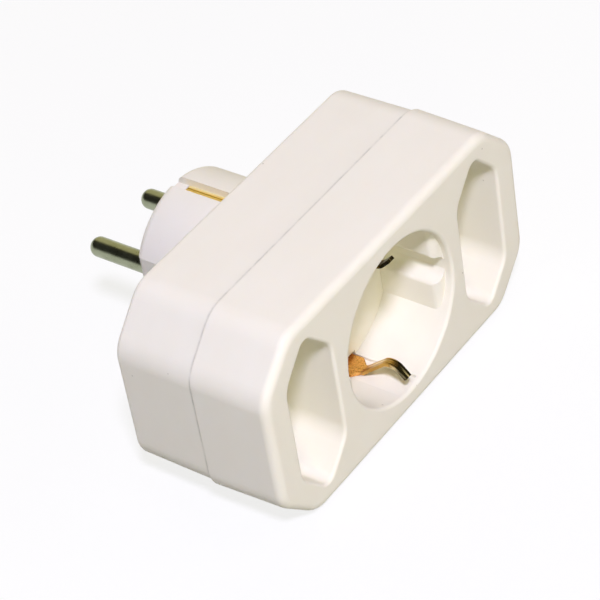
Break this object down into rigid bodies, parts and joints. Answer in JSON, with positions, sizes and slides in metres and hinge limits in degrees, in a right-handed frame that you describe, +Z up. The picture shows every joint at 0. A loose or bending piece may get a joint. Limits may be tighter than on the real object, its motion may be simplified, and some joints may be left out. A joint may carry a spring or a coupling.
{
  "type": "multi socket adapter",
  "caption": "Plug-in mains adapter: a long ivory two-part body with an earthed round socket between flat two-pin sockets, and an earthed round plug on its back.",
  "frame": {"origin": "on the surface that the adapter lies on, under the middle of its box", "axes": "+X along the row of sockets, +Y the way the plug pins point, +Z up from the long side it lies on"},
  "size_m": [0.0958, 0.0782, 0.0508],
  "materials": {
    "ivory_plastic": "moulded satin",
    "nickel_plate": "bright plated",
    "copper_spring": "bright stamped strip",
    "brass_strip": "bright stamped strip",
    "screw_steel": "zinc plated"
  },
  "bodies": {
    "root": {"front_shell": "ivory_plastic", "rear_shell": "ivory_plastic", "left_pin": "nickel_plate", "right_pin": "nickel_plate", "socket_earth_bow": "copper_spring", "shell_screws": "screw_steel", "upper_rail": "brass_strip", "lower_rail": "brass_strip", "round_left_contact": "brass_strip", "round_right_contact": "brass_strip", "upper_left_contact": "brass_strip", "upper_right_contact": "brass_strip", "lower_left_contact": "brass_strip", "lower_right_contact": "brass_strip", "contact_rivets": "brass_strip", "plug_earth_bow": "brass_strip", "earth_rivet": "brass_strip"}
  },
  "joints": []
}
